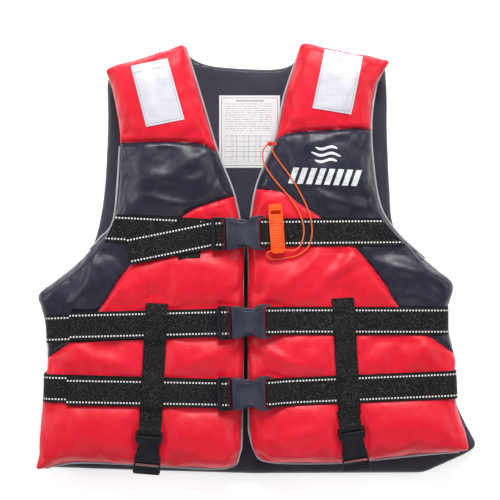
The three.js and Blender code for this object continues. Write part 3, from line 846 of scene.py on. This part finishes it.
backWhole = backPanel()
backTree = BVHTree.FromObject(backWhole, bpy.context.evaluated_depsgraph_get())
liningTool = wideSlab("lining tool", backLook["liningLow"], 60)
backLining = copied(backWhole, "back_lining_fabric")
cutWith(backLining, liningTool, "INTERSECT")
cutWith(backWhole, liningTool)
removed(liningTool)
backWhole.name = backWhole.data.name = "back_outer_fabric"
smoothFaces(backWhole, 55)
smoothFaces(backLining, 55)
finished(backWhole, navyNylon, "root", ["back_outer_cover", "back_foam_core"])
finished(backLining, liningCloth, "root", ["back_inner_lining"])
print("back made")


def stripMesh(name, path, place, width, thickness=webbing, columns=8, turns=None, camber=0.2, step=4.0):
    path = np.asarray(path, float)
    if path.shape[1] == 2:
        path = np.stack([path[:, 0], np.zeros(len(path)), path[:, 1]], axis=1)
    if turns is not None:
        path = np.hstack([path, np.asarray(turns, float)[:, None]])
    path = evenSteps(roundedLine(path), step) if step else path
    angle = path[:, 3] if turns is not None else np.zeros(len(path))
    path = path[:, :3]
    tangent = np.gradient(path, axis=0)
    tangent /= np.maximum(np.linalg.norm(tangent, axis=1), 1e-9)[:, None]
    across = np.stack([-np.sin(angle), np.cos(angle), np.zeros(len(angle))], axis=1)
    normal = np.cross(tangent, across)
    normal /= np.maximum(np.linalg.norm(normal, axis=1), 1e-9)[:, None]
    length = runAlong(path)
    v = np.linspace(-width / 2 + 0.3, width / 2 - 0.3, columns)
    rise = camber * (1 - (2 * v / width) ** 2)
    ring = [(a, thickness / 2 + r) for a, r in zip(v, rise)] + [(width / 2, 0.0)]
    ring += [(a, -thickness / 2 + r) for a, r in zip(v[::-1], rise[::-1])] + [(-width / 2, 0.0)]
    count = len(ring)
    points = [p + a * w + b * n for p, w, n in zip(path, across, normal) for a, b in ring]
    faces, uvs = [], []
    for i in range(len(path) - 1):
        for k in range(count):
            n = (k + 1) % count
            faces.append((i * count + k, (i + 1) * count + k, (i + 1) * count + n, i * count + n))
            uvs += [(length[i] * mm, ring[k][0] * mm), (length[i + 1] * mm, ring[k][0] * mm),
                    (length[i + 1] * mm, ring[n][0] * mm), (length[i] * mm, ring[n][0] * mm)]
    last = (len(path) - 1) * count
    for ends in (tuple(range(count)), tuple(range(last, last + count))):
        faces.append(ends)
        uvs += [(0, ring[k % count][0] * mm) for k in range(count)]
    obj = meshFrom(name, points, faces, uvs)
    obj.data.transform(place)
    tidyNormals(obj)
    smoothFaces(obj, 50)
    return obj


def slopedEnd(obj, place, x, slant):  # cuts a strap's end along a slanting line through (x, 0)
    out = math.copysign(400, x)
    tool = plainSlab("end tool", [(x - slant, 38), (x + slant, -38), (x + out, -38), (x + out, 38)], 60, 100)
    tool.data.transform(place)
    tidyNormals(tool)
    cutWith(obj, tool, "DIFFERENCE", "EXACT")
    removed(tool)


beltLook = {"barOffset": 50.5, "sideGap": 0.6, "fold": 1.75, "backLow": 0.8, "blend": (25, 40), "step": 2.4}


def overSide(reach):  # the way that a belt takes over the front's edge and down its side
    z = levels["belt"]
    return [(reach - 20, z), (reach - 5, z), (reach + 0.8, 69), (reach + 0.8, 56), (reach + 0.8, 41.6)]


def rightBelt(name, belt):
    z = levels["belt"]
    (mx, my), (ex, ey) = belt["mouth"], belt["right"]
    run = math.hypot(mx - ex, my - ey)
    place = placeOf(mx, my, math.degrees(math.atan2(my - ey, mx - ex)))
    ending = [(-x, h) for x, h in overSide(run + beltLook["sideGap"])] if belt["wraps"] else [(-run - 20, z)]
    strap = stripMesh(f"right_{name}_belt_webbing", [(-8, z), (-40, z)] + ending, place, beltWidth)
    if not belt["wraps"]:
        slopedEnd(strap, place, -run, -belt["cuts"][0])
    finished(strap, beltCloth, "front", [f"right_{name}_belt"])


def leftBelt(name, belt):
    z, fold = levels["belt"], levels["belt"] + beltLook["fold"]
    (mx, my), (ex, ey) = belt["mouth"], belt["left"]
    a = math.radians(belt["turn"])
    bx, by = mx + beltLook["barOffset"] * math.cos(a), my + beltLook["barOffset"] * math.sin(a)
    run = math.hypot(ex - bx, ey - by)
    place = placeOf(bx, by, math.degrees(math.atan2(ey - by, ex - bx)))
    if belt["wraps"]:
        loop = [(33, fold), (25, fold + 0.05), (17, 80.2), (10, 83.6), (6, 86.2)]
        ending = overSide(run + beltLook["sideGap"])
    else:
        loop = [(28, fold), (12, fold), (7, 79.4), (5.0, 81.6), (4.6, 84.4)]
        ending = [(run + 20, z)]
    loop += [(3.4, 87.6), (0, 88.9), (-3.6, 87.6), (-4.6, 84.4), (-3.4, 81.0), (0, 79.5), (5, 78), (10, z)]
    strap = stripMesh(f"left_{name}_belt_webbing", loop + ending, place, beltWidth, step=beltLook["step"])
    if not belt["wraps"]:
        slopedEnd(strap, place, run, belt["cuts"][1])
    finished(strap, beltCloth, "front", [f"left_{name}_belt"])


def beltTail(name, belt):  # up through the plug's frame, over its middle bar, and back along the belt
    mx, my = belt["mouth"]
    a = math.radians(belt["turn"])
    place = placeOf(mx, my, belt["turn"])
    dx, dy = belt["tailEnd"][0] - mx, belt["tailEnd"][1] - my
    far = (dx * math.cos(a) + dy * math.sin(a), dy * math.cos(a) - dx * math.sin(a))
    across = math.atan2(-far[1], -(far[0] + 20))
    t = levels["tail"]
    path = [(-5.4, 0, t), (-5.4, 0, 84), (-5.4, 0, 88.5), (-9.5, 0, 88.8), (-13.6, 0, 88.5), (-13.6, 0, 84),
            (-13.6, 0, t), (-22, 0, t)]
    turns = [0] * 7 + [across * 0.5]
    steps = np.linspace(-30, far[0], 12)
    path += [(s, far[1] * (s + 20) / (far[0] + 20), t + 0.1 * math.sin(s / 9)) for s in steps]
    turns += [across] * len(steps)
    tail = stripMesh(f"{name}_belt_tail_webbing", path, place, beltWidth, turns=turns, step=beltLook["step"])
    if name == "chest":  # the sewn fold at the loose end
        end = np.array(path[-1][:2])
        start = end + np.array([math.cos(across), math.sin(across)]) * 30
        foldPath = [(*p, t + beltLook["fold"]) for p in (end, (end + start) / 2, start)]
        tail = joined(tail.name, [tail, stripMesh("chest tail fold", foldPath, place, beltWidth, turns=[across] * 3)])
    finished(tail, beltCloth, f"{name}_plug", [f"{name}_belt_tail"])


def backBelt(name, belt):
    (rx, ry), (lx, ly) = belt["right"], belt["left"]
    half = math.hypot(lx - rx, ly - ry) / 2 + beltLook["sideGap"]
    place = placeOf((rx + lx) / 2, (ry + ly) / 2, math.degrees(math.atan2(ly - ry, lx - rx)))
    edge, low = half + 3.2, beltLook["backLow"]
    path = [(half + 0.8, 41.5), (half + 1.2, 34), (edge, 22), (edge, 8), (edge - 4, low), (edge - 30, low)]
    path = [(-x, z) for x, z in path] + [(0, low)] + path[::-1]
    around = stripMesh(f"back_{name}_belt_webbing", path, place, beltWidth, camber=0.0)
    finished(around, beltCloth, ("root", "front", *beltLook["blend"]), [f"back_{name}_belt"])


for name, belt in belts.items():
    rightBelt(name, belt)
    leftBelt(name, belt)
    beltTail(name, belt)
    if belt["wraps"]:
        backBelt(name, belt)

keeperPath = [(-91, 53.5, levels["keeper"]), (-91, 24, levels["keeper"]), (-91, -12, levels["keeper"])]
keeper = stripMesh("chest_belt_keeper_webbing", keeperPath, Matrix.Identity(4), 30, thickness=1.0, camber=0.0,
                   turns=[math.pi / 2] * 3)
finished(keeper, strapCloth, "front", ["chest_belt_keeper"])



def crotchStrap(side, strap):
    (tx, ty), (bx, by) = strap["top"], strap["bar"]
    length = math.hypot(tx - bx, ty - by)
    degrees = math.degrees(math.atan2(ty - by, tx - bx))
    place = placeOf(bx, by, degrees)
    z, over = levels["belt"], strap["over"] + 0.8
    path = [(length, z), (length - 3, z)]
    for middle in (strap["waist"], strap["lower"]):
        steps = ((30, z), (26, z + 0.4), (21, over), (10, over), (-10, over), (-21, over), (-26, z + 0.4), (-29, z))
        path += [(middle + x, h) for x, h in steps]
    path.append((19, z))
    lean = place @ Matrix.Rotation(math.radians(strap["turn"] - degrees), 4, "Z")
    around = [(24, z - 0.2), (14, z - 0.1), (9, z), (4, 77.6), (0, 77.3), (-2.8, 78.4), (-3.9, 81.1), (-2.8, 83.8),
              (0, 85), (2.8, 83.8), (4, 81.4), (6, 79.6), (12, 78.9), (18, 78.85), (25, 78.8)]
    ring = stripMesh("loop", around, lean, strapWidth, step=1.8)
    runPiece = stripMesh(f"{side}_crotch_strap_webbing", path, place, strapWidth, step=3.0)
    whole = joined(runPiece.name, [runPiece, ring])
    finished(whole, strapCloth, "front", [f"{side}_crotch_strap"])


for side, strap in straps.items():
    crotchStrap(side, strap)
print("webbing made")


def lofted(name, lines, thickness=1.2):
    obj = meshFrom(name, np.concatenate(lines), gridFaces(len(lines), len(lines[0])))
    useModifier(obj, "SOLIDIFY", thickness=thickness * mm, offset=0.0)
    smoothFaces(obj, 60)
    return obj


def sideFold(name, spine, inwardX, seed):
    spine = evenSteps(curveThrough(spine, 6), 5.0)
    s = runAlong(spine)
    profile = [(2.5, 51), (0.8, 44), (4.5, 38.5), (13, 35.5), (17, 32.5), (12, 30.5), (4, 29.2), (1.5, 27), (3.5, 24.6),
               (10, 23.0), (6, 19), (3.0, 14)]
    lines = []
    for number, (depth, z) in enumerate(roundedLine(profile, 2)):
        wave = 1.1 * ripple(s, seed + number // 6, (23, 37, 61))
        flat = np.clip(wave, -1.5, 1.5)
        lines.append(np.stack([spine[:, 0] + inwardX * (depth + flat), spine[:, 1], np.full(len(s), z) + 0.5 * wave],
                              axis=1))
    return lofted(name, lines)


sides = {"right": ([(-292, -262), (-289, -205), (-281, -140), (-286, -80), (-289, -54), (-270, -31)], 1, 81),
         "left": ([(282, -240), (270, -190), (270, -140), (260, -78), (266, -44), (256, -22)], -1, 91)}
folds = {side: sideFold(f"{side}_side_fold_fabric", *shape) for side, shape in sides.items()}
for side, fold in folds.items():
    finished(fold, navyNylon, ("root", "front", 22, 44), [f"{side}_side_gusset"])


def shoulderEnd(name, spine, seed):
    spine = evenSteps(np.array(spine, float), 4.0)
    s = runAlong(spine)
    ends = ease(0, 9, s) * ease(0, 9, s[-1] - s)
    direction = spine[-1] - spine[0]
    outward = np.array([-direction[1], direction[0]]) / np.hypot(*direction)
    if outward[1] < 0:
        outward = -outward
    profile = [(-9, 71), (-3.5, 68), (0.2, 60), (1.0, 50), (1.0, 38), (0.8, 26), (0.2, 18), (-3, 11), (-8, 8)]
    lines = []
    for number, (out, z) in enumerate(roundedLine(profile, 2)):
        reach = out * ends - 8 * (1 - ends) + 0.5 * ripple(s, seed + number // 8, (19, 31, 53)) - 1.2
        lines.append(np.stack([spine[:, 0] + outward[0] * reach, spine[:, 1] + outward[1] * reach,
                               np.full(len(s), float(z))], axis=1))
    return lofted(name, lines)


for side, spine in (("right", [(-197, 256.5), (-99, 285)]), ("left", [(63, 287.5), (172, 263)])):
    end = shoulderEnd(f"{side}_shoulder_end_fabric", spine, 101)
    finished(end, redNylon, ("root", "front", 22, 46))


pipingLook = {"radius": 1.4, "out": 0.7, "edgeHeight": 58.5, "armHeight": 61.0, "step": 3.0}


def piping(name, line, z, outwards):
    line = evenSteps(np.asarray(line, float), pipingLook["step"])
    s = np.arange(len(line)) * pipingLook["step"]
    along = np.gradient(line, axis=0)
    along /= np.hypot(*along.T)[:, None]
    line = line + outwards * np.column_stack([-along[:, 1], along[:, 0]])
    height = z + 0.8 * ripple(s, 55, (60, 97, 140))
    tube = tubeMesh(name, np.column_stack([line, height]), pipingLook["radius"], 8)
    finished(tube, pipingCloth, "front")


rightNeck = curveThrough([(-97, 286), (-76, 218), (-54, 145), (-31, 85), (-18, 20)], 8)
leftNeck = curveThrough([(61, 289), (38, 222), (25, 161), (-1, 95), (-12, 20)], 8)
rightArm = curveThrough([(-226, 12), (-212, 27), (-193, 55), (-185, 152)], 8)
leftArm = curveThrough([(227, 0), (187, 38), (164, 80), (154, 173), (161, 237)], 8) + [(171, 256)]
rightEdge = rightNeck + [(-19.6, -5), (-19.6, -130)] + rightHem[:-2]  # between the fronts it sinks into the seam
leftEdge = leftNeck + [(-10.4, -5), (-10.4, -130)] + leftHem[:-2]
piping("right_edge_piping", rightEdge, pipingLook["edgeHeight"], pipingLook["out"])
piping("left_edge_piping", leftEdge, pipingLook["edgeHeight"], -pipingLook["out"])
piping("right_armhole_piping", rightArm, pipingLook["armHeight"], pipingLook["out"])
piping("left_armhole_piping", leftArm, pipingLook["armHeight"], -pipingLook["out"])
print("folds and piping made")


def onFabric(side, xy):  # the fabric's height at each point; past its edge, the lowest height found
    tree = frontTrees.get(side, backTree)
    hits = [tree.ray_cast(Vector((x * mm, y * mm, 0.12)), Vector((0, 0, -1)))[0] for x, y in xy]
    heights = np.array([hit.z / mm if hit else np.nan for hit in hits])
    return np.where(np.isnan(heights), np.nanmin(heights), heights)


def softGrid(corners, rows, columns):
    a, b, c, d = (np.array(p, float) for p in corners)
    u, v = np.meshgrid(np.linspace(0, 1, columns), np.linspace(0, 1, rows))
    u, v = u.ravel()[:, None], v.ravel()[:, None]
    return a * (1 - u) * (1 - v) + b * u * (1 - v) + c * u * v + d * (1 - u) * v, u.ravel(), v.ravel()


def sewnSheet(name, side, corners, rows, columns, thickness, lift, uvSize, sag=1.5):
    xy, u, v = softGrid(corners, rows, columns)
    z = onFabric(side, xy)
    z = np.maximum(z, np.median(z) - sag) + lift
    faces = gridFaces(rows, columns)
    uvs = [(u[i] * uvSize[0], v[i] * uvSize[1]) for face in faces for i in face]
    obj = meshFrom(name, np.column_stack([xy, z]), faces, uvs)
    useModifier(obj, "SOLIDIFY", thickness=thickness * mm, offset=1.0)
    tidyNormals(obj)
    smoothFaces(obj, 50)
    return obj


for side, corners in patches.items():
    size = [float(np.hypot(*np.subtract(corners[k], corners[0]))) for k in (1, 3)]
    patch = sewnSheet(f"{side}_reflective_patch_film", side, corners, 34, 24, 0.7, 0.3, size, 8)
    finished(patch, reflectiveFilm(f"{side}_reflective_film", *size), "front",
             [f"{side}_reflective_patch"])

(x0, y0, _), (x1, y1, _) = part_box("care_label")
corners = [(x / mm, y / mm) for x, y in ((x0, y0), (x1, y0), (x1, y1), (x0, y1))]
label = sewnSheet("care_label_cloth", "back", corners, 24, 20, 0.4, 0.12, (84, 100))
finished(label, labelCloth(), "root", ["care_label"])

motifLook = {"x": 91.5, "y": 118.5, "turn": -2.5, "bars": 8, "barWide": 7.6, "barTall": 21.5, "barStep": 12.0,
             "lean": 6.5, "waves": 3, "waveStep": 8.5, "lift": 0.3, "thickness": 0.35}


def chestMotif():
    look = motifLook
    parts = []
    a = math.radians(look["turn"])
    turn = np.array([[math.cos(a), -math.sin(a)], [math.sin(a), math.cos(a)]])

    def patchOf(outlinePairs):
        low, high = (np.array(line, float) @ turn.T + (look["x"], look["y"]) for line in outlinePairs)
        xy = np.vstack([low * (1 - t) + high * t for t in (0, 0.25, 0.5, 0.75, 1)])
        z = onFabric("left", xy) + look["lift"]
        parts.append(meshFrom("motif", np.column_stack([xy, z]), gridFaces(5, len(low))))

    for number in range(look["bars"]):
        x = (number - (look["bars"] - 1) / 2) * look["barStep"]
        s = np.linspace(0, 1, 7)
        left = [(x - look["barWide"] / 2 + look["lean"] * (t - 0.5), -9 + look["barTall"] * (t - 0.5)) for t in s]
        right = [(px + look["barWide"], py) for px, py in left]
        patchOf((right, left))
    for number in range(look["waves"]):
        width = 20 - 2.5 * abs(number - 1) * 2
        s = np.linspace(-width, width, 40)
        y = 12.5 + number * look["waveStep"]
        centre = y + 1.9 * np.sin(s / 4.6)
        thick = 1.9 * np.sqrt(np.clip(1 - (np.abs(s) / width) ** 4, 0.02, 1))
        patchOf((list(zip(s, centre - thick)), list(zip(s, centre + thick))))
    whole = joined("chest_wave_motif", parts)
    useModifier(whole, "SOLIDIFY", thickness=look["thickness"] * mm, offset=1.0)
    tidyNormals(whole)
    smoothFaces(whole, 50)
    return whole


finished(chestMotif(), printedInk(), "front")

loopPath = [(14, 154.5, 76.8), (17, 154.5, 77.2), (20, 154.3, 77.3), (24, 153.9, 77.0), (26, 153.7, 76.6)]
loop = stripMesh("binding", loopPath, Matrix.Identity(4), 5.0, thickness=1.5, camber=0.3, step=1.5)
turns = np.linspace(0, 5 * math.pi, 60)  # two and a half turns of cord round the loop
knotLine = np.column_stack([18 + 2.2 * np.cos(turns), 153.3 + 2.0 * np.sin(turns), 79.2 + 0.14 * turns])
knot = tubeMesh("knot", knotLine, 1.0, 8)
loop = joined("whistle_cord_loop_binding", [loop, knot])
finished(loop, loopCloth, "front", ["whistle_cord_loop"])
print("sewn pieces made")

buckleLook = {"edge": 0.9, "fine": 0.45, "slots": ((-7, -3.2, 0), (-14.7, -12, 0)),
              "closedSlots": ((-7, -3.2, 0), (-15.2, -12.6, 7.2)), "crotchScale": 0.8}
socketSide = [(0, 21.5), (12.5, 21.5), (14, 17.5), (17, 15.5), (24, 15), (29, 17), (34, 21.5), (40, 23), (44, 23)]


def soften(obj, width, segments=3, angle=35):
    useModifier(obj, "BEVEL", width=width * mm, segments=segments, limit_method="ANGLE",
                angle_limit=math.radians(angle), use_clamp_overlap=True)


def plate(name, outline, low, high, edge=0.0, segments=3):
    obj = plainSlab(name, outline, low, high)
    if edge:
        soften(obj, edge, segments, 25)
    return obj


def boxTool(x0, x1, y0, y1, z0, z1):
    return plainSlab("tool", [(x0, y0), (x1, y0), (x1, y1), (x0, y1)], z0, z1)


def carve(obj, *tools):
    for tool in tools:
        cutWith(obj, tool, "DIFFERENCE", "EXACT")
    removed(*tools)


def settled(obj, place):  # puts a finished moulding where it belongs
    obj.data.transform(place)
    tidyNormals(obj)
    smoothFaces(obj, 40)


def socketPiece(name):
    plan = socketSide + [(x, -y) for x, y in socketSide[::-1]]
    body = plate(name, plan, 0, 12)
    carve(body, boxTool(-1, 38, -19.6, 19.6, 2.5, 9.5))
    soften(body, buckleLook["edge"])
    # a shallow recessed panel with a rounded outline on the top plate
    recess = [(5, 13.5), (11, 13.5), (16, 10.5), (26, 10.5), (33, 16), (38, 17.5), (38, -17.5), (33, -16), (26, -10.5),
              (16, -10.5), (11, -13.5), (5, -13.5)]
    carve(body, plate("tool", evenSteps(roundedLine(recess + recess[:1], 2), 2.0), 11.45, 13))
    bar = plate("bar", [(43, -23), (50.2, -23), (52.2, -21), (52.2, 21), (50.2, 23), (43, 23)], 3.8, 8.2)
    carve(bar, boxTool(44, 48.8, -20, 20, 0, 12))
    soften(bar, 0.8)
    return joined(name, [body, bar])


def plugPiece(name, slots):
    plan = [(-0.6, -22), (-0.6, 22), (-16, 23), (-19, 22), (-20, 19), (-20, -19), (-19, -22), (-16, -23)]
    body = plate(name, plan, 3, 9)
    carve(body, *[boxTool(low, high, -19.6, 19.6, floor, 12) for low, high, floor in slots])
    soften(body, buckleLook["edge"])
    tongue = plate("tongue", [(-1, -4), (26, -4), (30, -2), (30, 2), (26, 4), (-1, 4)], 3.5, 8.5, buckleLook["fine"])
    return joined(name, [body, tongue])


def prongPiece(name, sign):
    plan = [(0.4, 13), (0.4, 16.4), (10, 17), (14, 19), (22, 19.2), (29, 16.8), (33, 13.5), (32, 12), (26, 14.2),
            (20, 15.4), (12, 14), (6, 13)]
    return plate(name, [(x, y * sign) for x, y in plan], 3.5, 8.5, buckleLook["edge"])


def addBuckle(name, place, materials, slots, socketBody):
    made = {"socket": socketPiece(f"{name}_socket_moulding"), "plug": plugPiece(f"{name}_plug_moulding", slots),
            "upper_prong": prongPiece(f"{name}_upper_prong_moulding", 1),
            "lower_prong": prongPiece(f"{name}_lower_prong_moulding", -1)}
    for key, piece in made.items():
        settled(piece, place)
        body = socketBody if key == "socket" else f"{name}_{key}"
        finished(piece, materials[key == "plug"], body, [f"{name}_buckle_{key}"])


for name, belt in belts.items():
    place = placeOf(*belt["mouth"], belt["turn"]) @ Matrix.Translation((0, 0, levels["socket"] * mm))
    addBuckle(name, place, (slatePlastic, blackPlastic), buckleLook["slots"], "front")
for side, strap in straps.items():
    a, reach = math.radians(strap["turn"]), beltLook["barOffset"] * buckleLook["crotchScale"]
    x, y = strap["bar"][0] - reach * math.cos(a), strap["bar"][1] - reach * math.sin(a)
    place = (placeOf(x, y, strap["turn"]) @ Matrix.Translation((0, 0, levels["crotchSocket"] * mm))
             @ Matrix.Scale(buckleLook["crotchScale"], 4))
    addBuckle(f"{side}_crotch", place, (blackPlastic, blackPlastic), buckleLook["closedSlots"], f"{side}_crotch_buckle")
print("buckles made")

whistleLook = {"x": 26.2, "y": 40, "z": 80.7, "turn": 3.8, "ribs": 12, "firstRib": -24, "ribStep": 3.2, "bore": 1.6}


def whistlePiece():
    plan = [(-8.5, 33), (-9.5, 19), (-9.5, -30), (-6.5, -33), (6.5, -33), (9.5, -30), (9.5, 19), (8.5, 33)]
    body = plate("whistle_moulding", plan[::-1], 0, 9)
    bpy.ops.mesh.primitive_cylinder_add(vertices=16, radius=whistleLook["bore"] * mm, depth=40 * mm,
                                        location=(0, -29.8 * mm, 4.5 * mm), rotation=(0, math.pi / 2, 0))
    bore = bpy.context.object
    carve(body, bore, boxTool(-6.9, 6.9, 9, 34, 2.2, 6.8), boxTool(-6.9, 6.9, 19, 24, 6, 10))
    soften(body, 0.7)
    ribs = [body]
    for number in range(whistleLook["ribs"]):
        y = whistleLook["firstRib"] + number * whistleLook["ribStep"]
        ribs.append(plate("rib", [(-8, y - 0.8), (8, y - 0.8), (8, y + 0.8), (-8, y + 0.8)], 8.6, 9.55, 0.35, 2))
    return joined("whistle_moulding", ribs)


whistle = whistlePiece()
settled(whistle, placeOf(whistleLook["x"], whistleLook["y"], whistleLook["turn"])
        @ Matrix.Translation((0, 0, whistleLook["z"] * mm)))
finished(whistle, whistlePlastic, "whistle", ["whistle"])
print("whistle made")

stageLook = {
    "world": 0.27, "glow": 0.5, "floor": ((0.93, 0.93, 0.935), (0.9, 0.9, 0.905)),
    "lamps": {"key": ((0.1, 1.75, 1.6), 1.1, 52.0), "leftFill": ((-1.7, 0.2, 1.3), 1.0, 11.0),
              "rightFill": ((1.7, 0.2, 1.3), 1.0, 9.0), "lowFill": ((0.0, -1.7, 1.5), 1.2, 5.0)},
}


def addStage():
    deselectAll()
    bpy.ops.mesh.primitive_plane_add(size=8, location=(0, 0, -0.0005))
    floor = bpy.context.object
    floor.name = "floor"
    p = Paint("pale_floor")
    base = p.mix(p.noise(p.coordinates(), 2.0) * 0.2, *stageLook["floor"])
    floor.data.materials.append(p.shade(base_color=base, roughness=0.85, emission_color=(1.0, 1.0, 1.0),
                                        emission_strength=stageLook["glow"]))
    for name, (place, size, power) in stageLook["lamps"].items():
        data = bpy.data.lights.new(name, "AREA")
        data.energy, data.size = power, size
        lamp = bpy.data.objects.new(name, data)
        lamp.location = place
        lamp.rotation_euler = (Vector((0, 0, 0)) - Vector(place)).to_track_quat("-Z", "Y").to_euler()
        bpy.context.scene.collection.objects.link(lamp)
    world = bpy.data.worlds.new("studio")
    world.use_nodes = True
    world.node_tree.nodes["Background"].inputs["Color"].default_value = (1, 1, 1, 1)
    world.node_tree.nodes["Background"].inputs["Strength"].default_value = stageLook["world"]
    bpy.context.scene.world = world
    bpy.context.scene.view_settings.view_transform = "Standard"


addStage()
print("stage set")
